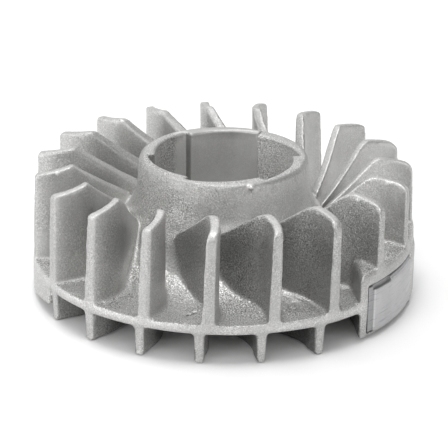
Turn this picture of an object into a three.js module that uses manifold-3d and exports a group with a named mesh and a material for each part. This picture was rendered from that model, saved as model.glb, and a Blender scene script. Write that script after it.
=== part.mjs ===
// Flywheel and cooling-fan wheel of a small two-stroke engine, in millimetres.
// The crankshaft axis is +Z, the starter side is up, and z = 0 is the plane of the
// lowest fins. Angles are counter-clockwise from +X, seen from the starter side.
// The wheel is one aluminium casting around steel and magnet inserts. The casting is
// modelled as its own features (web, cup, hub, blades, fins, housing, counterweight),
// each a separate solid with a small joint gap to its neighbour.

import * as THREE from 'three';
import { mergeVertices } from 'three/addons/utils/BufferGeometryUtils.js';
import Module from 'manifold-3d';

const wasm = await Module();
wasm.setup();

// ---------------------------------------------------------------- driving dimensions
const GAP = 0.3;                    // joint gap between neighbouring solids
const CUT_PAST = 1;                 // how far a cut runs on past a face
const AROUND = 72;                  // facets around a full turn
const TURN = 360;

const RIM_RADIUS = 50.5;            // edge of the web, nearly flush with the blade tips
const WEB_BOTTOM = 8.2;
const WEB_TOP = 10.7;
const WHEEL_RADIUS = 50.8;          // blade and fin tips at the web, and the housings

const BLADE_COUNT = 19;
const BLADE_PITCH = TURN / BLADE_COUNT;
const FIRST_BLADE = -131;           // angle of blade 1 at its tip
const BLADE_TOP = 34.3;             // outer corner of the top edge
const BLADE_TOP_RADIUS = 50.1;       // tip radius at the top, from the casting draft
const KNEE_RADIUS = 40.4;           // where the top edge turns down to the cup
const KNEE_HEIGHT = 36.1;
const BLADE_ROOT_RADIUS = 26;       // inner end of a blade, on the cup's flare
const BLADE_ROOT_HEIGHT = 23.8;
const BLADE_THICK_TOP = 2.3;
const BLADE_THICK_ROOT = 3;
const BLADE_CORNER = 2.2;           // rounding of the outer top corner
const CORNER_RISE = 0.3;            // of the top edge across that rounding
const BLADE_LEAN = 0.6;             // degrees that a root lags its top edge
const BLADE_SWEEP = { radius: 46, lead: 0.85, bend: 0.0535 };
const BLADE_STATIONS = [26.6, 28.8, 31, 34, 37, KNEE_RADIUS, 43.5, 46.5];

const FIN_COUNT = 20;               // places for lower fins, one more than the blades
const FIN_PITCH = TURN / FIN_COUNT;
const FIRST_FIN = -150.5;
const FIN_INNER_RADIUS = 31.5;
const FIN_TIP_RADIUS = 49.9;        // at the lower edge
const FIN_TOP_RADIUS = 50.3;        // at the web
const FIN_CORNER = 1;               // cut at the tip's lower corner
const FIN_CLEARANCE = 3;            // least degrees from a fin to a housing
const FIN_THICK_BOTTOM = 2.3;
const FIN_THICK_TOP = 2.7;
const FIN_SWEEP = { radius: 43, lead: 0.45, bend: 0.05 };
const FIN_STRAIGHT_RADIUS = 46;     // the fins run radially outside this radius
const FIN_STATIONS = [FIN_INNER_RADIUS, 34, 37, 40.4, 43.5, 46.5];

const CUP_TOP = 37;
const CUP_TOP_RADIUS = 22.1;
const CUP_RADIUS = 23.1;            // at the foot of the cup wall
const CUP_WALL = [[CUP_RADIUS, 26.6], [22.8, 30.5], [22.5, 35], [CUP_TOP_RADIUS, CUP_TOP]];
const CUP_FLOOR = 14.2;
const CUP_UNDERSIDE = 11.2;
const RATCHET_TEETH = 6;
const RATCHET_FIRST = 1;            // angle of the first tooth face
const RATCHET_OUTER = 20;
const RATCHET_INNER = 17.9;

const HUB_RADIUS = 12;
const HUB_BOTTOM = 0.5;
const HUB_TOP = 16.5;
const BUSH_RADIUS = 8;
const BUSH_TOP = 17;
const TAPER_RADIUS_BACK = 6.2;      // tapered bore, large end at the engine side
const TAPER_RADIUS_FRONT = 5.1;
const KEYWAY_WIDTH = 2.5;
const KEYWAY_DEPTH = 0.8;           // into the wall at the bore's large end

const HOUSING_MIDDLE = -12.1;       // middle angle of the magnet housing
const HOUSING_INNER_RADIUS = 36;
const HOUSING_BOTTOM = 0.8;
const HOUSING_TOP = 18.3;
const END_WALL_OFFSET = 29.7;       // distance of its end walls' planes from the axis
const END_WALL_TURN = 19.6;         // angle of their normals from the middle
const END_WALL_THICKNESS = 2.6;     // between a pole shoe and the end wall's face
const SHOE_RADIUS = 51.3;           // turned outer face of the pole shoes
const SHOE_INNER_RADIUS = 44.5;
const SHOE_BOTTOM = 1.9;
const SHOE_TOP = 14.6;
const SHOE_ARC = 27.6;
const BRIDGE_ARC = 7.4;             // aluminium strip between the two shoes
const SHOE_TOP_BORDER = 1.2;        // stepped border round a shoe's face
const SHOE_END_BORDER = 1.6;
const SHOE_STEP = 0.5;
const FACE_DEPTH = 2;               // of the raised face, most of it inside the shoe
const BRIDGE_CLEARANCE = 0.4;       // around the strip's sides and its inner face
const MAGNET_INNER_RADIUS = 38.4;
const MAGNET_OUTER_RADIUS = 48.6;
const MAGNET_WIDTH = 5.6;

const WEIGHT_START = -225;          // counterweight, opposite the magnets
const WEIGHT_END = -157;
const WEIGHT_INNER_RADIUS = 40.2;
const WEIGHT_BOTTOM = 0.8;
const WEIGHT_END_BOTTOM = 3.5;      // its lower face rises to this at both ends
const WEIGHT_END_LENGTH = 12;       // along which it rises

// ---------------------------------------------------------------- materials
const aluminium = { color: 0xb9b9b7, roughness: 0.55, metalness: 0.9 };
const steel = { color: 0xa9aaac, roughness: 0.35, metalness: 1 };
const darkSteel = { color: 0x8b8c8f, roughness: 0.4, metalness: 1 };
const ferrite = { color: 0x3c3c40, roughness: 0.6, metalness: 0.4 };

// ---------------------------------------------------------------- helpers
const radians = THREE.MathUtils.degToRad;

function welded(geometry) {
  geometry.deleteAttribute('normal');
  geometry.deleteAttribute('uv');
  return mergeVertices(geometry, 1e-4);
}

function toSolid(geometry) {
  const merged = welded(geometry);
  return new wasm.Manifold(new wasm.Mesh({
    numProp: 3,
    vertProperties: new Float32Array(merged.attributes.position.array),
    triVerts: new Uint32Array(merged.index.array),
  }));
}

function toGeometry(solid) {
  const mesh = solid.getMesh();
  const geometry = new THREE.BufferGeometry();
  geometry.setAttribute('position', new THREE.BufferAttribute(mesh.vertProperties, 3));
  geometry.setIndex(new THREE.BufferAttribute(mesh.triVerts, 1));
  return geometry;
}

// A ring turned about Z from a closed outline of [radius, height] pairs, listed
// counter-clockwise as seen with the radius to the right and the height up.
function turned(outline) {
  const points = [...outline, outline[0]].map(([r, z]) => new THREE.Vector2(r, z));
  const geometry = new THREE.LatheGeometry(points, AROUND);
  geometry.rotateX(Math.PI / 2);
  return geometry;
}

function extruded(shape, bottom, top, curveSegments = 12) {
  const geometry = new THREE.ExtrudeGeometry(shape, {
    depth: top - bottom, bevelEnabled: false, curveSegments,
  });
  geometry.translate(0, 0, bottom);
  return geometry;
}

function sectorShape(inner, outer, start, end) {
  const shape = new THREE.Shape();
  shape.absarc(0, 0, outer, radians(start), radians(end), false);
  shape.absarc(0, 0, inner, radians(end), radians(start), true);
  return shape;
}

function sector(inner, outer, start, end, bottom, top) {
  const facets = Math.max(4, Math.round(Math.abs(end - start) / 4));
  return toSolid(extruded(sectorShape(inner, outer, start, end), bottom, top, facets));
}

function box(radius0, radius1, width, bottom, top, angle) {
  const geometry = new THREE.BoxGeometry(radius1 - radius0, width, top - bottom);
  geometry.translate((radius0 + radius1) / 2, 0, (bottom + top) / 2);
  geometry.rotateZ(radians(angle));
  return toSolid(geometry);
}

const group = new THREE.Group();

function addPart(name, geometry, look) {
  geometry.computeVertexNormals();
  const mesh = new THREE.Mesh(geometry, new THREE.MeshStandardMaterial(look));
  mesh.name = name;
  group.add(mesh);
}

// ---------------------------------------------------------------- web
// Upper face of the web from the cup's foot to the rim: a bell that flattens outwards.
const FLARE = [
  [23.4, 26.6], [24.2, 24.8], [25.5, 22.4], [27, 20.1], [28.8, 17.3], [31, 14.8],
  [34, 12.7], [37, 11.6], [40.5, 10.9], [44, WEB_TOP], [RIM_RADIUS, WEB_TOP],
];
const UNDERSIDE = [
  [23.4, CUP_UNDERSIDE], [31, CUP_UNDERSIDE], [33.5, 10], [36.5, 8.7], [40, WEB_BOTTOM],
  [RIM_RADIUS, WEB_BOTTOM],
];

// Height of a profile at a radius, by straight lines between its points.
function heightOn(profile, radius) {
  const next = profile.findIndex(([r]) => r >= radius);
  if (next < 0) return profile[profile.length - 1][1];
  if (next === 0) return profile[0][1];
  const [r0, z0] = profile[next - 1];
  const [r1, z1] = profile[next];
  return z0 + (z1 - z0) * (radius - r0) / (r1 - r0);
}

// Keeps what lies inside the magnet housing's two end walls, moved outwards by grow.
function betweenEndWalls(solid, grow) {
  return [END_WALL_TURN, -END_WALL_TURN].reduce((kept, turn) => {
    const angle = radians(HOUSING_MIDDLE + turn);
    return kept.trimByPlane([Math.cos(angle), Math.sin(angle), 0], END_WALL_OFFSET - grow);
  }, solid);
}

// The magnet housing's plan as a solid, grown sideways where it makes room for itself
// in a neighbour.
function housingBlock(grow, bottom, top) {
  const halfArc = TURN / 8;
  return betweenEndWalls(sector(
    HOUSING_INNER_RADIUS - grow, WHEEL_RADIUS + grow,
    HOUSING_MIDDLE - halfArc, HOUSING_MIDDLE + halfArc, bottom, top,
  ), grow);
}

function web() {
  const ring = toSolid(turned([...UNDERSIDE, ...[...FLARE].reverse()]));
  return toGeometry(ring.subtract(housingBlock(GAP, 0, HOUSING_TOP)));
}

// ---------------------------------------------------------------- starter cup
// Each ratchet tooth closes in steadily from the outer to the inner radius, and its
// face then steps straight back out, so that it drives pawls one way only.
function ratchetShape() {
  const shape = new THREE.Shape();
  const pitch = TURN / RATCHET_TEETH;
  const steps = 8;
  for (let tooth = 0; tooth < RATCHET_TEETH; tooth += 1) {
    for (let step = 0; step <= steps; step += 1) {
      const angle = radians(RATCHET_FIRST + (tooth + step / steps) * pitch);
      const radius = RATCHET_OUTER + (RATCHET_INNER - RATCHET_OUTER) * step / steps;
      const [x, y] = [radius * Math.cos(angle), radius * Math.sin(angle)];
      if (tooth === 0 && step === 0) shape.moveTo(x, y);
      else shape.lineTo(x, y);
    }
  }
  return shape;
}

function starterCup() {
  const body = toSolid(turned([
    [HUB_RADIUS + GAP, CUP_UNDERSIDE], [CUP_RADIUS, CUP_UNDERSIDE], ...CUP_WALL,
    [HUB_RADIUS + GAP, CUP_TOP],
  ]));
  const hollow = toSolid(extruded(ratchetShape(), CUP_FLOOR, CUP_TOP + CUT_PAST));
  return toGeometry(body.subtract(hollow));
}

// ---------------------------------------------------------------- hub
function hubBoss() {
  return welded(turned([
    [BUSH_RADIUS + GAP, HUB_BOTTOM], [HUB_RADIUS, HUB_BOTTOM],
    [HUB_RADIUS, HUB_TOP], [BUSH_RADIUS + GAP, HUB_TOP],
  ]));
}

function hubBush() {
  const sleeve = toSolid(turned([
    [TAPER_RADIUS_BACK, HUB_BOTTOM], [BUSH_RADIUS, HUB_BOTTOM],
    [BUSH_RADIUS, BUSH_TOP], [TAPER_RADIUS_FRONT, BUSH_TOP],
  ]));
  const keyway = box(
    0, TAPER_RADIUS_BACK + KEYWAY_DEPTH, KEYWAY_WIDTH, 0, BUSH_TOP + CUT_PAST, 0,
  );
  return toGeometry(sleeve.subtract(keyway));
}

// ---------------------------------------------------------------- blades and fins
// Degrees from the angle of a plate's tip to its centre line at a radius: it leads most
// at the sweep's own radius and falls back to both sides of it.
function swept({ radius: peak, lead, bend }, radius) {
  return lead - bend * (radius - peak) ** 2;
}

const SLOPE_STEP = 0.1;

// Bends a flat plate, drawn as a [radius, height] outline, round its centre line, so
// that its ends stay on their radius. angleAt and thicknessAt give its angle and
// thickness, and settle moves the height of an edge to the surface that it stands on.
function bentPlate(outline, angleAt, thicknessAt, settle) {
  const shape = new THREE.Shape(outline.map(([r, z]) => new THREE.Vector2(r, z)));
  const geometry = new THREE.ExtrudeGeometry(shape, { depth: 1, bevelEnabled: false });
  const position = geometry.attributes.position;
  for (let i = 0; i < position.count; i += 1) {
    const radius = position.getX(i);
    const height = settle(radius, position.getY(i));
    const angle = radians(angleAt(radius, height));
    const ahead = radians(angleAt(radius + SLOPE_STEP, height));
    const slope = radius * (ahead - angle) / SLOPE_STEP;
    const side = (0.5 - position.getZ(i)) * thicknessAt(height) * Math.hypot(1, slope);
    const turn = angle + side / radius;
    position.setXYZ(i, radius * Math.cos(turn), radius * Math.sin(turn), height);
  }
  return welded(geometry);
}

function bladeThickness(height) {
  const share = THREE.MathUtils.clamp((height - WEB_TOP) / (KNEE_HEIGHT - WEB_TOP), 0, 1);
  return THREE.MathUtils.lerp(BLADE_THICK_ROOT, BLADE_THICK_TOP, share);
}

// The top edge rises gently from the tip to the knee, then runs straight down to the
// cup; the outer corner is rounded.
function bladeOutline() {
  const corner = new THREE.QuadraticBezierCurve(
    new THREE.Vector2(BLADE_TOP_RADIUS, BLADE_TOP - BLADE_CORNER),
    new THREE.Vector2(BLADE_TOP_RADIUS, BLADE_TOP),
    new THREE.Vector2(BLADE_TOP_RADIUS - BLADE_CORNER, BLADE_TOP + CORNER_RISE),
  ).getPoints(3).map((p) => [p.x, p.y]);
  const topEdge = [
    [BLADE_ROOT_RADIUS, BLADE_ROOT_HEIGHT], [KNEE_RADIUS, KNEE_HEIGHT], [BLADE_TOP_RADIUS, BLADE_TOP],
  ];
  const bottom = [...BLADE_STATIONS, WHEEL_RADIUS].map((r) => [r, WEB_BOTTOM]);
  const top = [...BLADE_STATIONS].reverse().map((r) => [r, heightOn(topEdge, r)]);
  return [...bottom, ...corner, ...top];
}

function finOutline() {
  const bottom = FIN_STATIONS.map((r) => [r, 0]);
  const top = [...FIN_STATIONS].reverse().map((r) => [r, CUP_UNDERSIDE]);
  const tip = [
    [FIN_TIP_RADIUS - FIN_CORNER, 0], [FIN_TIP_RADIUS, FIN_CORNER], [FIN_TOP_RADIUS, WEB_BOTTOM],
  ];
  return [...bottom, ...tip, ...top];
}

function bladeAngle(index) {
  return FIRST_BLADE + index * BLADE_PITCH;
}

function finAngle(index) {
  return FIRST_FIN + index * FIN_PITCH;
}

// Half the angle that the magnet housing takes at the wheel's edge.
const HOUSING_HALF_ARC = THREE.MathUtils.radToDeg(
  Math.acos(END_WALL_OFFSET / WHEEL_RADIUS),
) - END_WALL_TURN;

function within(angle, start, end) {
  return THREE.MathUtils.euclideanModulo(angle - start, TURN) < end - start;
}

function bladeLean(height) {
  return BLADE_LEAN * THREE.MathUtils.clamp((BLADE_TOP - height) / (BLADE_TOP - WEB_TOP), 0, 1);
}

function fanBlade(index) {
  const tip = bladeAngle(index);
  const plate = bentPlate(
    bladeOutline(),
    (radius, height) => tip + swept(BLADE_SWEEP, radius) - bladeLean(height),
    bladeThickness,
    (radius, height) => Math.max(height, heightOn(FLARE, radius) + GAP),
  );
  if (!within(tip, HOUSING_MIDDLE - HOUSING_HALF_ARC, HOUSING_MIDDLE + HOUSING_HALF_ARC)) {
    return plate;
  }
  return toGeometry(toSolid(plate).subtract(housingBlock(GAP, 0, HOUSING_TOP + GAP)));
}

function coolingFin(index) {
  return bentPlate(
    finOutline(),
    (radius) => finAngle(index) + swept(FIN_SWEEP, Math.min(radius, FIN_STRAIGHT_RADIUS)),
    (height) => THREE.MathUtils.lerp(FIN_THICK_BOTTOM, FIN_THICK_TOP, height / WEB_BOTTOM),
    (radius, height) => Math.min(height, heightOn(UNDERSIDE, radius) - GAP),
  );
}

// ---------------------------------------------------------------- magnet group
const SHOE_START = HOUSING_MIDDLE - BRIDGE_ARC / 2 - SHOE_ARC;
const SECOND_SHOE_START = HOUSING_MIDDLE + BRIDGE_ARC / 2;

function shoePocket(start) {
  const clearance = THREE.MathUtils.radToDeg(GAP / SHOE_INNER_RADIUS);
  return sector(
    SHOE_INNER_RADIUS - GAP, SHOE_RADIUS + CUT_PAST,
    start - clearance, start + SHOE_ARC + clearance,
    SHOE_BOTTOM - GAP, SHOE_TOP + GAP,
  );
}

function magnetPocket() {
  return box(
    MAGNET_INNER_RADIUS - GAP, MAGNET_OUTER_RADIUS + GAP, MAGNET_WIDTH + 2 * GAP,
    SHOE_BOTTOM - GAP, SHOE_TOP + GAP, HOUSING_MIDDLE,
  );
}

function magnetHousing() {
  const block = housingBlock(0, HOUSING_BOTTOM, HOUSING_TOP);
  const bridge = sector(
    MAGNET_OUTER_RADIUS + GAP + BRIDGE_CLEARANCE, SHOE_RADIUS,
    SHOE_START + SHOE_ARC + BRIDGE_CLEARANCE, SECOND_SHOE_START - BRIDGE_CLEARANCE,
    SHOE_BOTTOM - CUT_PAST, SHOE_TOP + CUT_PAST,
  );
  const shoeRoom = shoePocket(SHOE_START).add(shoePocket(SECOND_SHOE_START));
  const hollow = betweenEndWalls(shoeRoom, GAP - END_WALL_THICKNESS).add(magnetPocket());
  return toGeometry(block.subtract(hollow).add(bridge));
}

// A pole shoe with a stepped border along its top edge and along its outer end.
function poleShoe(start, borderAtStart) {
  const end = start + SHOE_ARC;
  const borderArc = THREE.MathUtils.radToDeg(SHOE_END_BORDER / SHOE_RADIUS);
  const faceStart = borderAtStart ? start + borderArc : start;
  const faceEnd = borderAtStart ? end : end - borderArc;
  const body = sector(SHOE_INNER_RADIUS, SHOE_RADIUS - SHOE_STEP, start, end, SHOE_BOTTOM, SHOE_TOP);
  const face = sector(
    SHOE_RADIUS - FACE_DEPTH, SHOE_RADIUS, faceStart, faceEnd, SHOE_BOTTOM, SHOE_TOP - SHOE_TOP_BORDER,
  );
  const magnetSide = box(
    MAGNET_INNER_RADIUS, MAGNET_OUTER_RADIUS + GAP, MAGNET_WIDTH + 2 * GAP,
    0, HOUSING_TOP, HOUSING_MIDDLE,
  );
  return toGeometry(betweenEndWalls(body.add(face), -END_WALL_THICKNESS).subtract(magnetSide));
}

function magnetBlock() {
  const size = [MAGNET_OUTER_RADIUS - MAGNET_INNER_RADIUS, MAGNET_WIDTH, SHOE_TOP - SHOE_BOTTOM];
  const geometry = new THREE.BoxGeometry(...size);
  geometry.translate((MAGNET_OUTER_RADIUS + MAGNET_INNER_RADIUS) / 2, 0, (SHOE_TOP + SHOE_BOTTOM) / 2);
  geometry.rotateZ(radians(HOUSING_MIDDLE));
  return welded(geometry);
}

// ---------------------------------------------------------------- counterweight
// A block under the web's rim, whose lower face rises along a slope at both ends.
function counterweight() {
  const block = sector(
    WEIGHT_INNER_RADIUS, WHEEL_RADIUS, WEIGHT_START, WEIGHT_END,
    WEIGHT_BOTTOM, WEB_BOTTOM - GAP,
  );
  const slope = (WEIGHT_END_BOTTOM - WEIGHT_BOTTOM) / WEIGHT_END_LENGTH;
  const slanted = (solid, angle, side) => {
    const across = side * slope;
    const [x, y] = [-Math.sin(radians(angle)), Math.cos(radians(angle))];
    return solid.trimByPlane(
      [across * x, across * y, 1], WEIGHT_END_BOTTOM / Math.hypot(1, slope),
    );
  };
  return toGeometry(slanted(slanted(block, WEIGHT_START, 1), WEIGHT_END, -1));
}

// ---------------------------------------------------------------- assembly
// The fins stop short of the magnet housing and the counterweight.
function finHasRoom(angle) {
  const housingArc = HOUSING_HALF_ARC + FIN_CLEARANCE;
  return !within(angle, HOUSING_MIDDLE - housingArc, HOUSING_MIDDLE + housingArc)
    && !within(angle, WEIGHT_START - FIN_CLEARANCE, WEIGHT_END + FIN_CLEARANCE);
}

addPart('web', web(), aluminium);
addPart('starter_cup', starterCup(), aluminium);
addPart('hub_boss', hubBoss(), aluminium);
addPart('hub_bush', hubBush(), darkSteel);
addPart('magnet_housing', magnetHousing(), aluminium);
addPart('counterweight', counterweight(), aluminium);
addPart('pole_shoe_1', poleShoe(SHOE_START, true), steel);
addPart('pole_shoe_2', poleShoe(SECOND_SHOE_START, false), steel);
addPart('magnet', magnetBlock(), ferrite);

const twoDigits = (index) => String(index + 1).padStart(2, '0');
for (let index = 0; index < BLADE_COUNT; index += 1) {
  addPart(`fan_blade_${twoDigits(index)}`, fanBlade(index), aluminium);
}
for (let index = 0; index < FIN_COUNT; index += 1) {
  if (finHasRoom(finAngle(index))) {
    addPart(`cooling_fin_${twoDigits(index)}`, coolingFin(index), aluminium);
  }
}

export default group;
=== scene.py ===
import math

import bpy
import numpy as np
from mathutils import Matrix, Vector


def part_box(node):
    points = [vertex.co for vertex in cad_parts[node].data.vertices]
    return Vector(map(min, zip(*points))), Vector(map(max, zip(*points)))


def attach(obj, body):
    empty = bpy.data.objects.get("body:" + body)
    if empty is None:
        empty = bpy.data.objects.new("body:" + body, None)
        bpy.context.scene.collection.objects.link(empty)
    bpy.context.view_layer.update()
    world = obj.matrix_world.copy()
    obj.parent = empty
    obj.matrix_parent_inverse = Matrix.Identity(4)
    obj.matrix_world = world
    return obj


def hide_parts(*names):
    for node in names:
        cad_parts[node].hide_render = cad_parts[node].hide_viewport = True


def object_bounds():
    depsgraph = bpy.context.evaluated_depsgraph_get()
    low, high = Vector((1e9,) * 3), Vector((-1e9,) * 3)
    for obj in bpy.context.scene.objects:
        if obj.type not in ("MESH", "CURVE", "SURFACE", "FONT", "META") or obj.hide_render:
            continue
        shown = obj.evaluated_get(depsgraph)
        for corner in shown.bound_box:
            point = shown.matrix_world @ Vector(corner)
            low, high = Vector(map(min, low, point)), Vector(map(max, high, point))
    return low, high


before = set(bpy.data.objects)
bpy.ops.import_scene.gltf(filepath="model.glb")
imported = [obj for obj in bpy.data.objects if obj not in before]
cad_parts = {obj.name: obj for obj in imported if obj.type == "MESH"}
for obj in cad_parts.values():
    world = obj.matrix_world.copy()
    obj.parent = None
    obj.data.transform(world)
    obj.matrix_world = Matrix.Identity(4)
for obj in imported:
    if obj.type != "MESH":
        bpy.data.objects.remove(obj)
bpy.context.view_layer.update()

import openvdb
from mathutils import Quaternion, Vector

# The wheel is worked out in millimetres and made into meshes in metres. The casting is
# one field of signed distances, so that its blades, fins and housings run into each
# other through real fillets, and the fields of the steel inserts are made the same way.
MM = 0.001
FULL_TURN, HALF_TURN = 360.0, 180.0
BOTTOM, TOP = 0, 1                    # the two ends of a node's box


# ---------------------------------------------------------------- the frame's dimensions
def node_points(node):
    """A CAD node's vertices as (radius, angle in degrees, height), in millimetres."""
    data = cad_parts[node].data
    points = np.empty(len(data.vertices) * 3, np.float32)
    data.vertices.foreach_get("co", points)
    x, y, z = points.reshape(-1, 3).T / MM
    return np.hypot(x, y), np.degrees(np.arctan2(y, x)), z


def reach(node):
    return float(node_points(node)[0].max())


def hole(node):
    return float(node_points(node)[0].min())


def height(node, end):
    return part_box(node)[end].z / MM


def tip_angle(node, above, within=0.05):
    """Angle of a blade's tip: the middle of its outermost points above a height."""
    radius, angle, z = node_points(node)
    outer = (z > above) & (radius > radius[z > above].max() - within)
    return float(angle[outer].mean())


def arc_ends(node, within=0.6):
    """The two angles between which a node's outer face runs."""
    radius, angle, _ = node_points(node)
    widest = angle[np.argmax(radius)]
    near = (angle - widest + HALF_TURN) % FULL_TURN - HALF_TURN
    outer = radius > radius.max() - within
    return widest + near[outer].min(), widest + near[outer].max()


BLADES = sorted(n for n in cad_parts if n.startswith("fan_blade_"))
FINS = sorted(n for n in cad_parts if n.startswith("cooling_fin_"))
BLADE_PITCH = FULL_TURN / len(BLADES)
FIRST_BLADE = tip_angle(BLADES[0], above=30)
BLADE_TOP_RADIUS = 50.1
BLADE_TOP = 34.55
BLADE_BOTTOM = 9.2                    # inside the web
KNEE_RISE = 0.3                       # makes up for the rounding of the knee
KNEE = (40.1, height(BLADES[0], TOP) + KNEE_RISE)
ROOT = (26.0, 23.8)
BLADE_LEAD, BLADE_BEND, BLADE_CREST = 0.85, 0.0535, 46
KNEE_LEAD, KNEE_LEAD_REACH = 0.55, 4  # a blade leads a little more at its knee
THICK_TOP, THICK_ROOT = 2.3, 3.0
LEAN = 0.6
BLADE_EDGE = 0.5
SHARP_CORNERS, SOFT_CORNERS = (1.8, 0.9), (3.2, 2.2)   # rounding at the tip and the knee
SOFT_BLADES = (3, 4, 5, 6, 7, 8, 9)   # blades whose corners came out softer

FIN_PLACES = 20
FIRST_FIN = -150.5
FIN_INNER_RADIUS = 31.5
FIN_TIP_RADIUS, FIN_TOP_RADIUS = 49.9, 50.3
FIN_LEAD, FIN_BEND, FIN_CREST = 0.45, 0.05, 43
FIN_STRAIGHT_RADIUS = 46              # the fins run straight outside this radius
FIN_THICKNESS, FIN_THICKENING = 2.3, 0.5
FIN_CORNER, FIN_EDGE = 0.9, 0.8

SHOE_STEP = 0.5                       # the magnet group stands out past the wheel
WHEEL_RADIUS = reach("magnet_housing") - SHOE_STEP
RIM_RADIUS = reach("web") + 0.1
WEB_BOTTOM = height("web", BOTTOM)
WEB_TOP = 10.7
CUP_TOP = height("starter_cup", TOP)
CUP_UNDERSIDE = height("starter_cup", BOTTOM)
CUP_FLOOR = 14.2
CUP_WALL = [(22.8, 30.5), (22.5, 35)]
LIP_RADIUS, LIP_ROUNDING = 22.3, 1.0
RATCHET_TEETH = 6
RATCHET_FIRST = 1.0
RATCHET_OUTER, RATCHET_INNER = 20.0, 17.9
TOOTH_POINTS = 13
BORE_DRAFT = 0.006
BORE_SOFTENING = 0.3
BORE_FILLET, MOUTH_ROUNDING = 1.2, 0.5
HUB_RADIUS = reach("hub_boss")
HUB_BOTTOM, HUB_TOP = height("hub_boss", BOTTOM), height("hub_boss", TOP)
BUSH_RADIUS = reach("hub_bush")
BUSH_BOTTOM, BUSH_TOP = height("hub_bush", BOTTOM), height("hub_bush", TOP)
BUSH_FIT = 0.02
BORE_FRONT = hole("hub_bush")
BORE_BACK = 6.2
KEYWAY_WIDTH, KEYWAY_DEPTH = 2.5, 0.8

HOUSING_MIDDLE = -12.1
HOUSING_INNER = hole("magnet_housing")
HOUSING_BOTTOM, HOUSING_TOP = height("magnet_housing", BOTTOM), height("magnet_housing", TOP)
HOUSING_CORNER, HOUSING_ROOF_EDGE, HOUSING_FOOT_EDGE = 1.0, 1.9, 1.2
ROOF_SLOPE = 0.05
END_WALL_OFFSET, END_WALL_TURN, END_WALL_THICKNESS = 29.7, 19.6, 2.6
END_WALL_DRAFT = 0.2
HOUSING_HALF_ARC = math.degrees(math.acos(END_WALL_OFFSET / WHEEL_RADIUS)) - END_WALL_TURN
SHOES = ("pole_shoe_1", "pole_shoe_2")
SHOE_ENDS = [arc_ends(name) for name in SHOES]
SHOE_RADIUS = reach(SHOES[0])
SHOE_INNER = 44.5
SHOE_BOTTOM, SHOE_TOP = height(SHOES[0], BOTTOM), height(SHOES[0], TOP)
SHOE_GROWTH = 0.15                    # thins the seam at the shoes' ends
SHOE_EDGE = 0.2
POCKET_GAP = 0.3                      # room around the shoes and the magnet
GROOVE = 0.45                         # open gap above the shoes
END_BORDER, TOP_BORDER, BORDER_DEPTH = 1.9, 0.75, 0.5
BORDER_SLOPE = 0.02
HOLLOW_END, HOLLOW_HEIGHT, HOLLOW_DEPTH = 9.9, 1.2, 1.1
SHOE_PITS = (                         # angle, height, radius
    (-16.9, 5.2, 0.42), (-16.2, 3.5, 0.35), (-17.4, 2.4, 0.45),
)
MAGNET_WIDTH = 5.6
MAGNET_RADII = (38.4, 48.6)
WEIGHT_INNER = hole("counterweight")
WEIGHT_START, WEIGHT_END = -225.0, -152.6
WEIGHT_BOTTOM = height("counterweight", BOTTOM)
WEIGHT_END_BOTTOM, WEIGHT_END_LENGTH = 3.6, 16.0
WEIGHT_SUNK = 0.3                     # its top lies this far inside the web
WEIGHT_FACE_TOP = WEB_TOP - 1.2

# Fillets where the casting's features run into each other. A blade's depends on the radius.
BLADE_FILLET = (25, 29, 45, 49), (0.6, 1.4, 1.5, 1.2)
FIN_FILLET, WEIGHT_FILLET, HOUSING_FILLET, HUB_FILLET = 1.1, 0.8, 1.1, 1.5

# Small marks on the casting's skin.
PIN_RING, PIN_RING_RADIUS = (18.5, -38.0), 1.8
CREASE_START, CREASE_RUN = (-8.7, -44.1), (1.9, 1.7)
CREASE_MIDDLE = (-7.8, -43.3, WEB_TOP)
BURR, BURR_RADIUS, BURR_CREST = (7.0, -21.5, 36.2), 0.7, (7.0, -21.5, 36.4)
RIDGE_ANGLE, RIDGE_HALF_ARC = -116.1, 9
RIDGE_RADIUS, RIDGE_HEIGHT = 23.6, 27.9

# The outer face of the casting is cut last of all, so what reaches it is drawn longer.
SPARE = 0.3
PAST_RIM, PAST_AXIS, PAST_BOTTOM = RIM_RADIUS + 3, -20, -5
OUTER_EDGE = 0.35
OUTER_FACE = [                        # height, radius
    (0.7, FIN_TIP_RADIUS + 0.2), (1.2, FIN_TIP_RADIUS - 0.1),
    (WEB_BOTTOM - 0.2, FIN_TOP_RADIUS), (WEB_BOTTOM + 0.4, RIM_RADIUS),
    (WEB_TOP, RIM_RADIUS), (BLADE_TOP, BLADE_TOP_RADIUS),
]

# The web's upper face, from the cup's foot to the rim, and its underside.
FLARE = [
    (23.0, 28.2), (23.4, 26.6), (24.2, 24.8), (25.5, 22.4), (27, 20.1), (28.8, 17.3),
    (31, 14.8), (34, 12.7), (37, 11.6), (40.5, 10.9), (44, WEB_TOP), (PAST_RIM, WEB_TOP),
]
UNDERSIDE = [
    (PAST_AXIS, CUP_UNDERSIDE), (31, CUP_UNDERSIDE), (33.5, 10), (36.5, 8.7), (40, WEB_BOTTOM),
    (PAST_RIM, WEB_BOTTOM),
]


# ---------------------------------------------------------------- fields
class Grid:
    """Sample points of a field, with their radius and angle about the wheel's axis."""

    def __init__(self, low, high, step):
        self.low, self.step = np.array(low, float), step
        x, y, z = (np.arange(a, b + step, step) for a, b in zip(low, high))
        self.x, self.y = (part[:, :, None] for part in np.meshgrid(x, y, indexing="ij"))
        self.z = z[None, None, :]
        self.radius = np.hypot(self.x, self.y)
        self.angle = np.degrees(np.arctan2(self.y, self.x))

    def along(self, start, stop):
        """Distances past two radial planes, positive outside the arc between them."""
        middle = (start + stop) / 2
        away = (self.angle - middle + HALF_TURN) % FULL_TURN - HALF_TURN
        return np.radians(abs(away) - (stop - start) / 2) * self.radius


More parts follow.
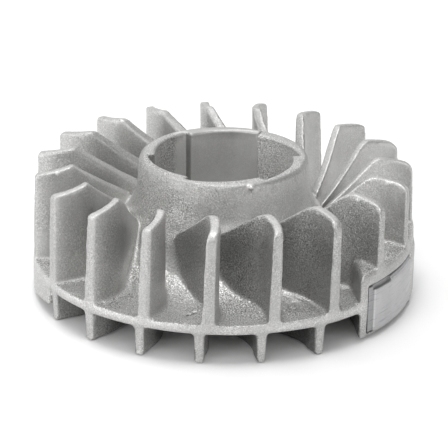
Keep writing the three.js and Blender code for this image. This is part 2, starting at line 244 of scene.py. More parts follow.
def both(a, b, rounding=0.0):
    """What two solids share, with the edge where they meet rounded."""
    if np.ndim(rounding) == 0 and not rounding:
        return np.maximum(a, b)
    p, q = a + rounding, b + rounding
    edge = np.hypot(np.maximum(p, 0), np.maximum(q, 0))
    return np.minimum(np.maximum(p, q), 0) + edge - rounding


def joined(a, b, fillet=0.0):
    """Two solids as one, with a fillet where they meet."""
    return -both(-a, -b, fillet)


def without(a, b, rounding=0.0):
    return both(a, -b, rounding)


def ball(grid, middle, radius):
    x, y, z = middle
    return np.sqrt((grid.x - x) ** 2 + (grid.y - y) ** 2 + (grid.z - z) ** 2) - radius


def outline_distance(outline, u, v):
    """Signed distance to a closed outline, negative inside."""
    nearest = np.full(np.broadcast(u, v).shape, np.inf)
    inside = np.zeros(nearest.shape, bool)
    corners = [tuple(map(float, corner)) for corner in outline]
    for (u0, v0), (u1, v1) in zip(corners, corners[1:] + corners[:1]):
        du, dv = u1 - u0, v1 - v0
        share = np.clip(((u - u0) * du + (v - v0) * dv) / (du * du + dv * dv), 0, 1)
        nearest = np.minimum(nearest, (u - u0 - share * du) ** 2 + (v - v0 - share * dv) ** 2)
        if dv:
            inside ^= ((v0 > v) != (v1 > v)) & (u < u0 + (v - v0) * du / dv)
    return np.where(inside, -1, 1) * np.sqrt(nearest)


def turned(outline, grid, soften=0.0, spacing=0.15):
    """A ring turned about Z from a (radius, height) outline."""
    radii = np.arange(0, grid.radius.max() + 2 * spacing, spacing)
    table = outline_distance(outline, radii[:, None], grid.z[0, 0][None, :])
    if soften:
        table = softened(table, soften / spacing, soften / grid.step)
    levels = [np.interp(grid.radius[:, :, 0], radii, column) for column in table.T]
    return np.stack(levels, axis=2).astype(np.float32)


def softened(table, *sigmas):
    """A table blurred along its axes, which rounds the corners that it holds."""
    for axis, sigma in enumerate(sigmas):
        half = max(1, int(3 * sigma))
        weights = np.exp(-0.5 * (np.arange(-half, half + 1) / sigma) ** 2)
        weights /= weights.sum()
        padding = [(half, half) if i == axis else (0, 0) for i in range(table.ndim)]
        wide = np.pad(table, padding, mode="edge")
        table = sum(
            w * np.take(wide, range(i, i + table.shape[axis]), axis=axis)
            for i, w in enumerate(weights)
        )
    return table


def smooth_curve(points, step=0.25, reach_mm=1.4):
    """Closely spaced points along a curve through a few, with its corners eased."""
    corners = np.array(points, float)
    lengths = np.linalg.norm(np.diff(corners, axis=0), axis=1)
    along = np.concatenate([[0], np.cumsum(lengths)])
    at = np.arange(0, along[-1], step)
    half = int(reach_mm / step)
    weights = np.hanning(2 * half + 3)[1:-1]
    eased = []
    for part in corners.T:
        value = np.interp(at, along, part)
        before = 2 * value[0] - value[half:0:-1]
        after = 2 * value[-1] - value[-2:-half - 2:-1]
        wide = np.concatenate([before, value, after])
        eased.append(np.convolve(wide, weights / weights.sum(), mode="valid"))
    return list(zip(*eased))


def rounded_corner(before, corner, after, radius, count=6):
    """Points of a corner replaced by a curve that starts radius short of it."""
    before, corner, after = (np.array(p, float) for p in (before, corner, after))
    start = corner + (before - corner) / np.linalg.norm(before - corner) * radius
    end = corner + (after - corner) / np.linalg.norm(after - corner) * radius
    shares = np.linspace(0, 1, count)[:, None]
    curve = (1 - shares) ** 2 * start + 2 * shares * (1 - shares) * corner + shares**2 * end
    return [tuple(p) for p in curve]


def uneven(grid, wave, depth, seed):
    """A slow random unevenness, as on a casting's skin."""
    rng = np.random.default_rng(seed)
    sizes = (grid.x.shape[0], grid.y.shape[1], grid.z.size)
    field = rng.normal(0, depth, [int(size * grid.step / wave) + 4 for size in sizes])
    for axis, size in enumerate(sizes):
        at = 1 + np.arange(size) * grid.step / wave
        cell = at.astype(int)
        share = at - cell
        share = share * share * (3 - 2 * share)
        share = share.reshape([-1 if i == axis else 1 for i in range(3)])
        field = np.take(field, cell, axis) * (1 - share) + np.take(field, cell + 1, axis) * share
    return field.astype(np.float32)


# ---------------------------------------------------------------- the casting
def blade_sweep(radius):
    """Degrees by which the middle of a blade leads its tip at a radius."""
    knee_lead = KNEE_LEAD * np.exp(-(((radius - KNEE[0]) / KNEE_LEAD_REACH) ** 2))
    return BLADE_LEAD - BLADE_BEND * (radius - BLADE_CREST) ** 2 + knee_lead


def fin_sweep(radius):
    bent = np.minimum(radius, FIN_STRAIGHT_RADIUS) - FIN_CREST
    return FIN_LEAD - FIN_BEND * bent**2


def plates(grid, first, count, sweep, lean, thickness, profile, rounding):
    """A ring of bent plates standing on the web. Returns their field and, for each
    point of the plan, the number of the plate that it belongs to."""
    pitch = FULL_TURN / count
    turn = grid.angle - first - sweep(grid.radius)
    number = np.round(turn / pitch)
    local = turn - number * pitch
    step = 0.1
    slope = grid.radius * np.radians(sweep(grid.radius + step) - sweep(grid.radius)) / step
    scale = np.radians(1) * grid.radius / np.hypot(1, slope)
    side = abs(scale * (local + lean)) - thickness / 2
    return both(side.astype(np.float32), profile, rounding), number % count


def blade_outline(tip_rounding, knee_rounding):
    """A blade seen from its side, as (radius, height) points."""
    rim = RIM_RADIUS + SPARE
    tip = (BLADE_TOP_RADIUS + SPARE, BLADE_TOP)
    foot = (rim, WEB_TOP)
    return [
        (21.5, 13), (31, 12.5), (36.5, 9.9), (40, BLADE_BOTTOM), (rim, BLADE_BOTTOM), foot,
        *rounded_corner(foot, tip, KNEE, tip_rounding),
        *rounded_corner(tip, KNEE, ROOT, knee_rounding),
        ROOT, (25.7, 22.2), (23.5, 20),
    ]


def fin_outline():
    """A lower fin seen from its side, which ends inside the web."""
    inner, outer = (FIN_INNER_RADIUS, 0), (FIN_TIP_RADIUS + SPARE, 0)
    return [
        inner,
        *rounded_corner(inner, outer, (FIN_TOP_RADIUS, WEB_BOTTOM), FIN_CORNER),
        (FIN_TOP_RADIUS + 0.1, WEB_BOTTOM), (RIM_RADIUS, WEB_BOTTOM + 1.2),
        (FIN_INNER_RADIUS, 12.5),
    ]


def wheel_body(grid):
    """Web, bell and cup, with the ratchet's hole."""
    flare = smooth_curve(FLARE)
    mouth = (PAST_AXIS, CUP_TOP)
    lip = rounded_corner(CUP_WALL[-1], (LIP_RADIUS, CUP_TOP), mouth, LIP_ROUNDING)
    outline = [*UNDERSIDE, *flare[::-1], *CUP_WALL, *lip, mouth]
    body = turned(outline, grid, soften=0.25)

    corners = []
    tooth_pitch = FULL_TURN / RATCHET_TEETH
    for tooth in range(RATCHET_TEETH):
        for share in np.linspace(0, 1, TOOTH_POINTS):
            angle = math.radians(RATCHET_FIRST + (tooth + share) * tooth_pitch)
            radius = RATCHET_OUTER + (RATCHET_INNER - RATCHET_OUTER) * share
            corners.append((radius * math.cos(angle), radius * math.sin(angle)))
    plan = outline_distance(corners, grid.x[:, :, 0], grid.y[:, :, 0])
    blur = BORE_SOFTENING / grid.step
    plan = softened(plan, blur, blur)[:, :, None]
    draft = BORE_DRAFT * (grid.z - CUP_FLOOR)
    bore = both((plan - draft).astype(np.float32), CUP_FLOOR - grid.z, BORE_FILLET)
    return without(body, bore, MOUTH_ROUNDING)


def fan_blades(grid):
    """All the blades, thicker at their roots and leaning a little."""
    share = np.clip((grid.z - WEB_TOP) / (KNEE[1] - WEB_TOP), 0, 1)
    thickness = THICK_ROOT + (THICK_TOP - THICK_ROOT) * share
    lean = LEAN * np.clip((BLADE_TOP - grid.z) / (BLADE_TOP - WEB_TOP), 0, 1)
    sharp = turned(blade_outline(*SHARP_CORNERS), grid)
    soft = turned(blade_outline(*SOFT_CORNERS), grid)
    turn = grid.angle - FIRST_BLADE - blade_sweep(grid.radius)
    number = np.round(turn / BLADE_PITCH) % len(BLADES)
    profile = np.where(np.isin(number, [n - 1 for n in SOFT_BLADES]), soft, sharp)
    return plates(
        grid, FIRST_BLADE, len(BLADES), blade_sweep, lean, thickness, profile, BLADE_EDGE)[0]


def cooling_fins(grid):
    """The fins under the web, at those of their places that nothing else takes up."""
    share = np.clip(grid.z / WEB_BOTTOM, 0, 1.4)
    thickness = FIN_THICKNESS + FIN_THICKENING * share
    field, number = plates(
        grid, FIRST_FIN, FIN_PLACES, fin_sweep, 0, thickness, turned(fin_outline(), grid),
        FIN_EDGE)
    present = [int(name[-2:]) - 1 for name in FINS]
    far_away = 6.0
    return np.where(np.isin(number, present), field, far_away).astype(np.float32)


def end_walls(grid, offset):
    """Distance past the housing's two end walls, which are planes at an offset from the
    axis, positive outside them."""
    past = []
    for turn in (END_WALL_TURN, -END_WALL_TURN):
        facing = math.radians(HOUSING_MIDDLE + turn)
        past.append(offset - grid.x * math.cos(facing) - grid.y * math.sin(facing))
    return both(*past)


def housing_block(grid):
    """The raised housing of the magnet group."""
    rise = np.clip(grid.z / HOUSING_TOP, 0, 1)
    walls = end_walls(grid, END_WALL_OFFSET - END_WALL_DRAFT / 2 + END_WALL_DRAFT * rise)
    outside = grid.radius - WHEEL_RADIUS - SPARE
    inside = HOUSING_INNER - grid.radius
    roof = grid.z - HOUSING_TOP - ROOF_SLOPE * (WHEEL_RADIUS - grid.radius)
    plan = both(both(outside, inside, HOUSING_CORNER), walls, HOUSING_CORNER)
    upper = both(plan, roof, HOUSING_ROOF_EDGE)
    return both(upper, HOUSING_BOTTOM - grid.z, HOUSING_FOOT_EDGE).astype(np.float32)


def counterweight(grid):
    """A thick arc of the rim, whose lower face rises towards both ends."""
    ends = grid.along(WEIGHT_START, WEIGHT_END)
    plan = both(WEIGHT_INNER - grid.radius, ends, 0.8)
    plan = both(plan, grid.radius - WHEEL_RADIUS - SPARE)
    slope = (WEIGHT_END_BOTTOM - WEIGHT_BOTTOM) / WEIGHT_END_LENGTH
    lower = np.maximum(WEIGHT_BOTTOM, WEIGHT_END_BOTTOM + slope * ends)
    slab = both(plan, lower - grid.z, 0.7)
    return both(slab, grid.z - WEB_TOP + WEIGHT_SUNK).astype(np.float32)


def past_outer_face(grid):
    """Distance past the wheel's outer face, which stands out at the counterweight and at
    the magnet housing, and steps back to the rim within a millimetre of their ends."""
    heights, radii = zip(*OUTER_FACE)
    face = np.interp(grid.z, heights, radii)
    for start, stop, top in (
        (WEIGHT_START, WEIGHT_END, WEIGHT_FACE_TOP),
        (HOUSING_MIDDLE - HOUSING_HALF_ARC, HOUSING_MIDDLE + HOUSING_HALF_ARC, HOUSING_TOP),
    ):
        share = np.clip(0.5 - grid.along(start, stop), 0, 1) * np.clip(top + 1 - grid.z, 0, 1)
        face = face + (WHEEL_RADIUS - face) * share
    return (grid.radius - face).astype(np.float32)


def magnet_room(grid, gap):
    """The magnet's upright block, grown by a gap."""
    middle = math.radians(HOUSING_MIDDLE)
    out = grid.x * math.cos(middle) + grid.y * math.sin(middle)
    across = abs(grid.y * math.cos(middle) - grid.x * math.sin(middle))
    ends = both(out - MAGNET_RADII[1] - gap, MAGNET_RADII[0] - gap - out)
    return both(across - MAGNET_WIDTH / 2 - gap, ends)


def insert_pockets(grid):
    """Room for the two pole shoes and the magnet between them."""
    gap = POCKET_GAP
    level = both(grid.z - SHOE_TOP - GROOVE, SHOE_BOTTOM - gap - grid.z)
    wall = end_walls(grid, END_WALL_OFFSET + END_WALL_THICKNESS - gap)
    pockets = both(magnet_room(grid, gap), level)
    for start, stop in SHOE_ENDS:
        arc = grid.along(start, stop) - gap
        pocket = both(both(arc, SHOE_INNER - gap - grid.radius), level)
        pockets = np.minimum(pockets, both(pocket, wall))
    return pockets.astype(np.float32)


def seam_strip(grid):
    """The strip of casting in front of the magnet, which shows between the two shoes."""
    ends = (SHOE_ENDS[0][1] + POCKET_GAP, SHOE_ENDS[1][0] - POCKET_GAP)
    level = both(grid.z - SHOE_TOP - 0.6, SHOE_BOTTOM - 0.8 - grid.z)
    strip = both(both(grid.along(*ends), level), grid.radius - SHOE_RADIUS + 0.1)
    return both(strip, MAGNET_RADII[1] + 0.5 - grid.radius)


def skin_marks(grid, field):
    """Small marks of the casting: a pin's ring, a crease, a burr and a faint ridge."""
    near_floor = np.exp(-(((grid.z - WEB_TOP) / 1.2) ** 2))
    ring = np.hypot(grid.x - PIN_RING[0], grid.y - PIN_RING[1])
    field = field + 0.2 * np.exp(-(((ring - PIN_RING_RADIUS) / 0.3) ** 2)) * near_floor

    (x, y), (run_x, run_y) = CREASE_START, CREASE_RUN
    along = np.clip((grid.x - x) / run_x, 0, 1)
    bend = 0.25 * np.sin(9 * along)
    crease = np.hypot(grid.x - x - run_x * along, grid.y - y - run_y * along - bend)
    field = field + 0.5 * np.exp(-((crease / 0.32) ** 2)) * near_floor

    field = joined(field, ball(grid, BURR, BURR_RADIUS), 0.2)

    turn = (grid.angle - RIDGE_ANGLE) / RIDGE_HALF_ARC
    ridge = np.exp(-(((grid.z - RIDGE_HEIGHT) / 0.24) ** 2)) * np.exp(-(turn**4))
    return field - 0.14 * ridge * (abs(grid.radius - RIDGE_RADIUS) < 2)


def casting_field(grid):
    field = wheel_body(grid)
    field = joined(field, fan_blades(grid), np.interp(grid.radius, *BLADE_FILLET))
    field = joined(field, cooling_fins(grid), FIN_FILLET)
    field = joined(field, counterweight(grid), WEIGHT_FILLET)
    field = joined(field, housing_block(grid), HOUSING_FILLET)
    field = both(field, past_outer_face(grid), OUTER_EDGE)
    boss = both(grid.radius - HUB_RADIUS, both(grid.z - HUB_TOP, HUB_BOTTOM - grid.z), 0.8)
    field = joined(field, boss.astype(np.float32), HUB_FILLET)
    field = without(field, insert_pockets(grid))
    field = np.minimum(field, seam_strip(grid))
    field = field + uneven(grid, wave=4.5, depth=0.05, seed=7)
    field = field + uneven(grid, wave=11, depth=0.06, seed=8)
    field = skin_marks(grid, field)
    shaft = both(grid.radius - BUSH_RADIUS, PAST_BOTTOM - grid.z)
    return without(field, shaft).astype(np.float32)


# ---------------------------------------------------------------- the inserts
def shoe_field(grid, start, stop, border_at_start):
    """A pole shoe: a turned face with a lower border along its top and its outer end, and
    a hollow above the face. The one whose border is at its start has small pits."""
    shell = both(grid.radius - SHOE_RADIUS, SHOE_INNER - grid.radius)
    level = both(grid.z - SHOE_TOP, SHOE_BOTTOM - grid.z)
    ends = grid.along(start, stop) - SHOE_GROWTH
    block = both(both(shell, level, 0.25), ends, SHOE_EDGE)
    wall = END_WALL_OFFSET + END_WALL_THICKNESS - SHOE_GROWTH
    block = both(block, end_walls(grid, wall), SHOE_EDGE)
    block = without(block, magnet_room(grid, POCKET_GAP))

    inward = grid.angle - start if border_at_start else stop - grid.angle
    inward = np.radians(inward) * SHOE_RADIUS
    end_border = inward - END_BORDER - BORDER_SLOPE * grid.z
    top_border = SHOE_TOP - TOP_BORDER - grid.z
    border = np.minimum(end_border, top_border)
    step = both(border, SHOE_RADIUS - BORDER_DEPTH - grid.radius)
    block = without(block, step, 0.3)
    above_face = SHOE_TOP - HOLLOW_HEIGHT - grid.z
    hollow = both(inward - HOLLOW_END, both(END_BORDER - inward, above_face))
    hollow = both(hollow, SHOE_RADIUS - HOLLOW_DEPTH - grid.radius)
    block = without(block, hollow, 0.15)
    field = block + uneven(grid, wave=6, depth=0.02, seed=3 + border_at_start)
    if border_at_start:
        for angle, z, size in SHOE_PITS:
            turn = math.radians(angle)
            place = (SHOE_RADIUS * math.cos(turn), SHOE_RADIUS * math.sin(turn), z)
            field = without(field, ball(grid, place, size))
    return field.astype(np.float32)


def bush_field(grid):
    """The steel bush, with its tapered bore and keyway."""
    share = np.clip((grid.z - BUSH_BOTTOM) / (BUSH_TOP - BUSH_BOTTOM), -0.1, 1.1)
    bore = BORE_BACK + (BORE_FRONT - BORE_BACK) * share
    wall = both(grid.radius - BUSH_RADIUS + BUSH_FIT, bore - grid.radius)
    level = both(grid.z - BUSH_TOP, BUSH_BOTTOM - grid.z)
    keyway = both(abs(grid.y) - KEYWAY_WIDTH / 2, grid.x - BORE_BACK - KEYWAY_DEPTH)
    keyway = both(keyway, -grid.x)
    return without(both(wall, level, 0.4), keyway, 0.15).astype(np.float32)


# ---------------------------------------------------------------- meshes
def sample(values, at):
    """A field's values at points given in grid steps."""
    cell = np.clip(at.astype(int), 0, np.array(values.shape) - 2)
    share = at - cell
    total = np.zeros(len(at))
    for corner in np.ndindex(2, 2, 2):
        weight = np.prod(np.where(corner, share, 1 - share), axis=1)
        total += weight * values[tuple((cell + corner).T)]
    return total


def mesh_from_field(name, field, grid, adaptivity):
    """The zero surface of a field as a smooth-shaded mesh object."""
    band = 3.0
    volume = openvdb.FloatGrid(band)
    levels = np.clip(field / grid.step, -band, band).astype(np.float32)
    volume.copyFromArray(levels, tolerance=0.0)
    points, triangles, quads = volume.convertToPolygons(isovalue=0.0, adaptivity=adaptivity)
    slopes = [sample(part, points) for part in np.gradient(field)]
    normals = np.stack(slopes, axis=1)
    normals /= np.maximum(np.linalg.norm(normals, axis=1, keepdims=True), 1e-9)
    places = (grid.low + points * grid.step) * MM

    mesh = bpy.data.meshes.new(name)
    faces = [*triangles.tolist(), *quads.tolist()]
    mesh.from_pydata(places.tolist(), [], faces)
    mesh.shade_smooth()
    mesh.normals_split_custom_set_from_vertices(normals.tolist())
    thing = bpy.data.objects.new(name, mesh)
    bpy.context.scene.collection.objects.link(thing)
    return thing, places / MM, normals


def add_values(thing, name, values):
    attribute = thing.data.attributes.new(name, "FLOAT", "POINT")
    attribute.data.foreach_set("value", np.asarray(values, np.float32))


def painted_shoe_shading(points):
    """Painted shade on the stepped border, and a painted highlight along the face's own edge."""
    depth = SHOE_RADIUS - np.hypot(points[:, 0], points[:, 1])
    return np.interp(depth, (0.03, 0.12, 0.3, 0.45), (0.95, 1.3, 1.1, 0.72))


# ---------------------------------------------------------------- the casting's skin
# How granular the skin is, from 0 for satin to 1 for shot-blasted. A pair of rows gives
# the values at some angles about the wheel's axis.
PLAIN_GRAIN, FLOOR_GRAIN, STRIP_GRAIN, LEADING_GRAIN = 0.6, 1.0, 0.4, 0.4
BELL_GRAIN, TOP_EDGE_GRAIN = 0.45, 0.3
CUP_INSIDE_GRAIN, SMOOTH_TOOTH_GRAIN = 0.9, 0.1
SMOOTH_TOOTH = (62, 131)
TRAILING_GRAIN = (-60, -35, 10), (0.75, 0.5, 0.2)
CUP_GRAIN = (0, 160, 200, 250, 290, 360), (0.3, 0.3, 0.65, 0.65, 0.35, 0.3)

# How light the skin is, as a factor on its colour: painted light and shade, besides the plain
# value.
PLAIN_TONE, BACK_SLOPE_PAINTED_SHADE, LIP_PAINTED_SHADE = 0.97, 0.8, 0.78
BELL_PAINTED_LIGHT = 0.3
TOOTH_FACE_PAINTED_SHADE, TOOTH_STRIP_PAINTED_HIGHLIGHT = 0.6, 1.3
TOOTH_STRIP = (121.5, 131)
BURR_PAINTED_HIGHLIGHT, CREASE_PAINTED_SHADE = 1.5, 0.5
TRAILING_PAINTED_SHADING = (
    (-180, -95, -72, -50, -35, -20, 10, 60), (1, 0.9, 0.74, 0.74, 0.95, 1.15, 1.1, 1))
CUP_INSIDE_PAINTED_SHADING = (60, 60.6, 61.6, 62.4), (1.22, 0.35, 0.35, 1.22)
STRIP_PAINTED_SHADING = (WEB_BOTTOM, BLADE_BOTTOM, WEB_TOP, 12), (0.93, 1.05, 1.05, 0.9)
UNDER_LEADING_PAINTED_SHADE, UNDER_TRAILING_PAINTED_SHADE = ((42, 50), (0.55, 1.0)), 0.45
BACK_SLOPES = (40, 125)
LIP_RADII = (17, 23)


class Skin:
    """Where the points of the casting's skin lie, and which way it looks there."""

    def __init__(self, points, normals):
        x, y, self.z = points.T
        self.points = points
        self.radius = np.maximum(np.hypot(x, y), 1e-3)
        self.angle = np.degrees(np.arctan2(y, x))
        self.turn = self.angle % FULL_TURN
        self.outward = (normals[:, 0] * x + normals[:, 1] * y) / self.radius
        self.around = (normals[:, 1] * x - normals[:, 0] * y) / self.radius
        self.upward = normals[:, 2]
        self.above_web = self.z > WEB_TOP
        self.outer_strips = (self.outward > 0.8) & (self.radius > 48)
        self.inside_cup = (self.radius < 21.5) & (self.z > CUP_FLOOR)
        self.blade_tops = (self.radius > 26) & (self.z > 22)

    def near(self, place, distance):
        return np.linalg.norm(self.points - np.array(place), axis=1) < distance


def between(values, limits):
    return (values > limits[0]) & (values < limits[1])


def skin_grain(skin):
    grain = np.full(len(skin.z), PLAIN_GRAIN)
    grain[(skin.upward > 0.8) & (skin.z < 21)] = FLOOR_GRAIN
    grain[skin.outer_strips] = STRIP_GRAIN
    trailing = (skin.around < -0.6) & skin.above_web
    grain[trailing] = np.interp(skin.angle[trailing], *TRAILING_GRAIN)
    grain[(skin.around > 0.6) & skin.above_web] = LEADING_GRAIN
    steep = (skin.upward < 0.8) & (abs(skin.around) < 0.5)
    grain[steep & between(skin.radius, (24, 36)) & (skin.z < 24)] = BELL_GRAIN
    cup = (skin.outward > 0.3) & (skin.radius < 27) & (skin.z > 18)
    grain[cup] = np.interp(skin.turn[cup], *CUP_GRAIN)
    smooth = between(skin.turn[skin.inside_cup], SMOOTH_TOOTH)
    grain[skin.inside_cup] = np.where(smooth, SMOOTH_TOOTH_GRAIN, CUP_INSIDE_GRAIN)
    top_edges = (skin.outward < -0.3) | (skin.upward > 0.8)
    grain[skin.blade_tops & top_edges] = TOP_EDGE_GRAIN
    return grain


# Painted light and shade: lighter or darker by region, standing in for how light falls on the
# casting.
def painted_skin_shading(skin):
    painted_shading = np.full(len(skin.z), PLAIN_TONE)
    # Painted shade on the trailing faces of the front blades, and painted light a little to
    # their right.
    trailing = np.clip(-skin.around / 0.5 - 0.6, 0, 1) * skin.above_web
    painted_shading *= 1 + trailing * (np.interp(skin.angle, *TRAILING_PAINTED_SHADING) - 1)

    # Painted light on the bell's sloping faces between the blades.
    sloping = np.clip((skin.upward - 0.25) / 0.2, 0, 1)
    sloping *= np.clip((0.97 - skin.upward) / 0.15, 0, 1)
    bell = sloping * between(skin.radius, (24.5, 38)) * between(skin.z, (WEB_TOP, 24))
    painted_shading *= 1 + BELL_PAINTED_LIGHT * bell * (abs(skin.around) < 0.4)

    # Painted light and shade on the outer strips: lighter at the web, darker above and below it.
    strips = skin.outer_strips
    painted_shading[strips] *= np.interp(skin.z[strips], *STRIP_PAINTED_SHADING)
    # Painted shade on the sloping top edges of the back blades.
    back_slopes = skin.blade_tops & (skin.outward < -0.4) & between(skin.angle, BACK_SLOPES)
    painted_shading[back_slopes] *= BACK_SLOPE_PAINTED_SHADE

    # Painted light inside the cup, with a painted shade line at the tooth step at 61 degrees.
    inside = skin.inside_cup
    painted_shading[inside] *= np.interp(skin.turn[inside], *CUP_INSIDE_PAINTED_SHADING)
    # Painted highlight on the strip at a rounded tooth end.
    painted_shading[inside & between(skin.turn, TOOTH_STRIP)] *= TOOTH_STRIP_PAINTED_HIGHLIGHT
    # Painted shade on the teeth's radial faces.
    painted_shading[inside & (abs(skin.around) > 0.6)] *= TOOTH_FACE_PAINTED_SHADE
    # Painted highlight on the burr.
    painted_shading[skin.near(BURR_CREST, 1.1)] = BURR_PAINTED_HIGHLIGHT
    # Painted shade in the crease.
    painted_shading[skin.near(CREASE_MIDDLE, 1.7) & (skin.z < WEB_TOP - 0.12)] *= CREASE_PAINTED_SHADE
    # Painted shade on the cup's lip.
    painted_shading[between(skin.radius, LIP_RADII) & (skin.z > CUP_TOP - 1.2)] *= LIP_PAINTED_SHADE

    # Painted shade on the fins' sides under the web, darkest on trailing sides and towards the
    # axis.
    under = (abs(skin.around) > 0.5) & (skin.z < WEB_BOTTOM)
    leading = np.interp(skin.radius[under], *UNDER_LEADING_PAINTED_SHADE)
    painted_shading[under] *= np.where(skin.around[under] > 0, leading, UNDER_TRAILING_PAINTED_SHADE)
    return painted_shading


# ---------------------------------------------------------------- materials
class Shader:
    """A material with a Principled shader, and short ways to add nodes to it."""

    def __init__(self, name):
        self.material = bpy.data.materials.new(name)
        self.material.use_nodes = True
        self.tree = self.material.node_tree
        self.surface = self.tree.nodes["Principled BSDF"]
        self.place = self.node("ShaderNodeTexCoord").outputs["Object"]

    def node(self, kind, **settings):
        made = self.tree.nodes.new(kind)
        for key, value in settings.items():
            if key in made.inputs:
                made.inputs[key].default_value = value
            else:
                setattr(made, key, value)
        return made

    def link(self, source, target):
        self.tree.links.new(source, target)

    def noise(self, per_mm, detail, roughness=0.5, place=None):
        made = self.node(
            "ShaderNodeTexNoise", Scale=per_mm / MM, Detail=detail, Roughness=roughness)
        self.link(place or self.place, made.inputs["Vector"])
        return made.outputs["Fac"]

    def ramp(self, source, low, high, to_low=0.0, to_high=1.0):
        made = self.node("ShaderNodeMapRange")
        ends = (("From Min", low), ("From Max", high), ("To Min", to_low), ("To Max", to_high))
        for key, value in ends:
            made.inputs[key].default_value = value
        self.link(source, made.inputs["Value"])
        return made.outputs["Result"]

    def feed(self, source, target):
        """Links an output to a socket, or sets the socket to a number or a colour."""
        if isinstance(source, tuple):
            target.default_value = (*source, 1.0)
        elif isinstance(source, (int, float)):
            target.default_value = source
        else:
            self.link(source, target)

    def math(self, operation, first, second):
        made = self.node("ShaderNodeMath", operation=operation)
        self.feed(first, made.inputs[0])
        self.feed(second, made.inputs[1])
        return made.outputs[0]

    def mix(self, share, first, second):
        """A mix of two colours, by a Mix node whose colour sockets are numbers 6 and 7."""
        made = self.node("ShaderNodeMix", data_type="RGBA")
        self.feed(share, made.inputs[0])
        self.feed(first, made.inputs[6])
        self.feed(second, made.inputs[7])
        return made.outputs[2]

    def with_painted_shading(self, colour):
        """A colour made lighter or darker by the light and shade painted onto the mesh."""
        made = self.node("ShaderNodeVectorMath", operation="SCALE")
        painted_shading = self.node("ShaderNodeAttribute", attribute_name="painted_shading").outputs["Fac"]
        self.link(colour, made.inputs[0])
        self.link(painted_shading, made.inputs["Scale"])
        return made.outputs["Vector"]

    def bump(self, source, strength, depth_mm):
        made = self.node("ShaderNodeBump", Strength=strength, Distance=depth_mm * MM)
        self.link(source, made.inputs["Height"])
        return made.outputs["Normal"]

    def finish(self, colour, roughness, metallic, normal):
        """Feeds the surface and returns the material."""
        self.link(colour, self.surface.inputs["Base Color"])
        self.link(roughness, self.surface.inputs["Roughness"])
        self.surface.inputs["Metallic"].default_value = metallic
        self.link(normal, self.surface.inputs["Normal"])
        return self.material


def cast_aluminium():
    """Die-cast aluminium, shot-blasted: fine grains that glint, over a satin skin, its colour
    scaled by painted light and shade.
    """
    dark, light = (0.502, 0.50, 0.492), (0.582, 0.58, 0.571)
    glint_colour, pore_colour = (0.88, 0.877, 0.863), (0.261, 0.26, 0.256)
    shader = Shader("cast_aluminium")
    grain = shader.node("ShaderNodeAttribute", attribute_name="grain").outputs["Fac"]
    patches = shader.ramp(shader.noise(0.09, 3), 0.35, 0.65, 0.55, 1.25)
    amount = shader.math("MULTIPLY", grain, patches)

    fine = shader.noise(2.9, 1.0)
    coarse = shader.noise(0.75, 2.0)
    cloud = shader.ramp(shader.noise(0.12, 4, 0.6), 0.3, 0.7)
    glint = shader.math("MULTIPLY", shader.ramp(fine, 0.54, 0.66), amount)
    pore = shader.math("MULTIPLY", shader.ramp(fine, 0.47, 0.35), amount)
    skin = shader.mix(cloud, dark, light)
    skin = shader.mix(glint, skin, glint_colour)
    skin = shader.mix(pore, skin, pore_colour)

    rough = shader.ramp(coarse, 0.3, 0.7, 0.5, 0.6)
    rough = shader.math("SUBTRACT", rough, shader.math("MULTIPLY", glint, 0.1))
    grains = shader.math("ADD", fine, shader.math("MULTIPLY", coarse, 0.8))
    normal = shader.bump(shader.math("MULTIPLY", grains, amount), 0.7, 0.3)
    return shader.finish(shader.with_painted_shading(skin), rough, 1.0, normal)


def turned_steel():
    """Steel turned on a lathe: fine lines round the wheel, rubbed bright in places, its colour
    scaled by painted light and shade.
    """
    dull, bright, line_colour = (0.42, 0.42, 0.43), (0.56, 0.56, 0.565), (0.30, 0.30, 0.31)
    shader = Shader("turned_steel")
    stretched = shader.node("ShaderNodeMapping")
    shader.link(shader.place, stretched.inputs["Vector"])
    stretched.inputs["Scale"].default_value = (0.06, 0.06, 1.0)
    lines = shader.noise(2.6, 3.0, 0.7, stretched.outputs["Vector"])
    cloud = shader.noise(0.11, 4, 0.6)
    skin = shader.mix(shader.ramp(cloud, 0.3, 0.7), dull, bright)
    skin = shader.mix(shader.ramp(lines, 0.48, 0.32, 0.0, 0.75), skin, line_colour)
    rough = shader.ramp(shader.math("ADD", lines, cloud), 0.8, 1.2, 0.36, 0.5)
    return shader.finish(shader.with_painted_shading(skin), rough, 0.9, shader.bump(lines, 0.5, 0.12))


def ground_steel():
    """A machined steel sleeve, with rings from the tool."""
    dark, light = (0.30, 0.30, 0.31), (0.42, 0.42, 0.43)
    shader = Shader("ground_steel")
    rings = shader.noise(1.4, 2.0, 0.6)
    skin = shader.mix(shader.ramp(rings, 0.3, 0.7), dark, light)
    rough = shader.ramp(rings, 0.3, 0.7, 0.3, 0.42)
    return shader.finish(skin, rough, 1.0, shader.bump(rings, 0.2, 0.05))


def magnet_material():
    """A dull, dark sintered alloy."""
    dark, light = (0.06, 0.06, 0.065), (0.12, 0.12, 0.125)
    shader = Shader("magnet_alloy")
    grains = shader.noise(1.2, 4.0, 0.6)
    skin = shader.mix(shader.ramp(grains, 0.35, 0.65), dark, light)
    rough = shader.ramp(grains, 0.3, 0.7, 0.5, 0.7)
    return shader.finish(skin, rough, 0.4, shader.bump(grains, 0.3, 0.1))


# ---------------------------------------------------------------- build
ALUMINIUM_NODES = [
    "web", "starter_cup", "hub_boss", "magnet_housing", "counterweight", *BLADES, *FINS,
]
CASTING_STEP, CASTING_ADAPTIVITY = 0.35, 0.06
INSERT_STEP, INSERT_ADAPTIVITY = 0.2, 0.03

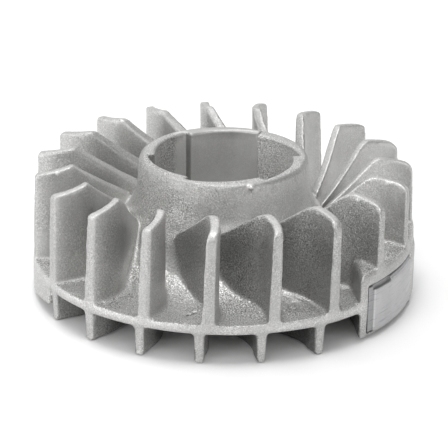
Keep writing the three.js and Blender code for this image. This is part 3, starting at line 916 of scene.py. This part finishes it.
casting_grid = Grid((-52, -52, -1), (52, 52, 38.2), CASTING_STEP)
casting, skin_points, skin_normals = mesh_from_field(
    "casting", casting_field(casting_grid), casting_grid, CASTING_ADAPTIVITY)
casting_skin = Skin(skin_points, skin_normals)
add_values(casting, "grain", skin_grain(casting_skin))
add_values(casting, "painted_shading", painted_skin_shading(casting_skin))
casting.data.materials.append(cast_aluminium())
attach(casting, "root")
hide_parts(*ALUMINIUM_NODES)

steel = turned_steel()
margin = Vector((1, 1, 1))
for node, (start, stop), border_at_start in zip(SHOES, SHOE_ENDS, (True, False)):
    low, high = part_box(node)
    grid = Grid(Vector(low) / MM - margin, Vector(high) / MM + margin, INSERT_STEP)
    field = shoe_field(grid, start, stop, border_at_start)
    shoe, points, _ = mesh_from_field(node + "_turned", field, grid, INSERT_ADAPTIVITY)
    add_values(shoe, "painted_shading", painted_shoe_shading(points))
    shoe.data.materials.append(steel)
    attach(shoe, "root")
    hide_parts(node)

bush_grid = Grid((-8.8, -8.8, -0.4), (8.8, 8.8, 17.8), INSERT_STEP)
bush, _, _ = mesh_from_field("hub_sleeve", bush_field(bush_grid), bush_grid, INSERT_ADAPTIVITY)
bush.data.materials.append(ground_steel())
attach(bush, "root")
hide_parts("hub_bush")

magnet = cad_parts["magnet"]
magnet.data.materials.clear()
magnet.data.materials.append(magnet_material())


# ---------------------------------------------------------------- floor, light, camera
LAMPS = (                             # name, azimuth, elevation, power in watts
    ("overhead", 0, 88, 8.9),
    ("front", 0, 46, 3.6),
    ("front_left", -45, 17, 5.6),
    ("left", -90, 18, 4.4),
    ("back_left_low", -135, 15, 1.7),
    ("back_left_high", -135, 48, 2.7),
    ("back_low", 180, 15, 1.4),
    ("back_high", 180, 48, 2.0),
    ("back_right", 135, 15, 2.2),
    ("right", 90, 15, 1.1),
    ("front_right", 45, 15, 2.8),
)
LAMP_DISTANCE, LAMP_SIZE, LAMP_AIM = 1.2, 0.7, (0, 0, 0.02)
BACKDROP_STRENGTH = 0.055
LENS_MM, SENSOR_MM = 166.21, 36
CAMERA_PLACE, CAMERA_AIM = (0.000242, -0.51152, 0.22905), (0.000242, 0, 0.017171)
CAMERA_ROLL = 0.694


def pale_floor():
    bpy.ops.mesh.primitive_plane_add(size=6, location=(0, 0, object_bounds()[0].z))
    floor = bpy.context.object
    floor.name = "floor"
    material = bpy.data.materials.new("floor_white")
    material.use_nodes = True
    surface = material.node_tree.nodes["Principled BSDF"]
    surface.inputs["Base Color"].default_value = (0.9, 0.9, 0.9, 1)
    surface.inputs["Roughness"].default_value = 0.9
    surface.inputs["Specular IOR Level"].default_value = 0.1
    floor.data.materials.append(material)


def soft_light(name, azimuth, elevation, power):
    """A square lamp that looks at the wheel. Azimuth 0 is in front and 90 at the right."""
    a, e = math.radians(azimuth), math.radians(elevation)
    away = Vector((math.sin(a) * math.cos(e), -math.cos(a) * math.cos(e), math.sin(e)))
    data = bpy.data.lights.new(name, "AREA")
    data.shape = "SQUARE"
    data.size = LAMP_SIZE
    data.energy = power
    lamp = bpy.data.objects.new(name, data)
    lamp.location = Vector(LAMP_AIM) + away * LAMP_DISTANCE
    lamp.rotation_mode = "QUATERNION"
    lamp.rotation_quaternion = (-away).to_track_quat("-Z", "Y")
    bpy.context.scene.collection.objects.link(lamp)


pale_floor()
for lamp_facts in LAMPS:
    soft_light(*lamp_facts)

world = bpy.data.worlds.new("studio")
bpy.context.scene.world = world
world.use_nodes = True
backdrop = world.node_tree.nodes["Background"]
backdrop.inputs["Color"].default_value = (1, 1, 1, 1)
backdrop.inputs["Strength"].default_value = BACKDROP_STRENGTH

lens = bpy.data.cameras.new("camera")
lens.sensor_width = SENSOR_MM
lens.lens = LENS_MM
camera = bpy.data.objects.new("camera", lens)
bpy.context.scene.collection.objects.link(camera)
camera.location = CAMERA_PLACE
aim = Vector(CAMERA_AIM) - Vector(camera.location)
camera.rotation_mode = "QUATERNION"
roll = Quaternion((0, 0, 1), math.radians(CAMERA_ROLL))
camera.rotation_quaternion = aim.to_track_quat("-Z", "Y") @ roll
lens.clip_start, lens.clip_end = 0.01, 20
bpy.context.scene.camera = camera
bpy.context.scene.view_settings.view_transform = "Standard"
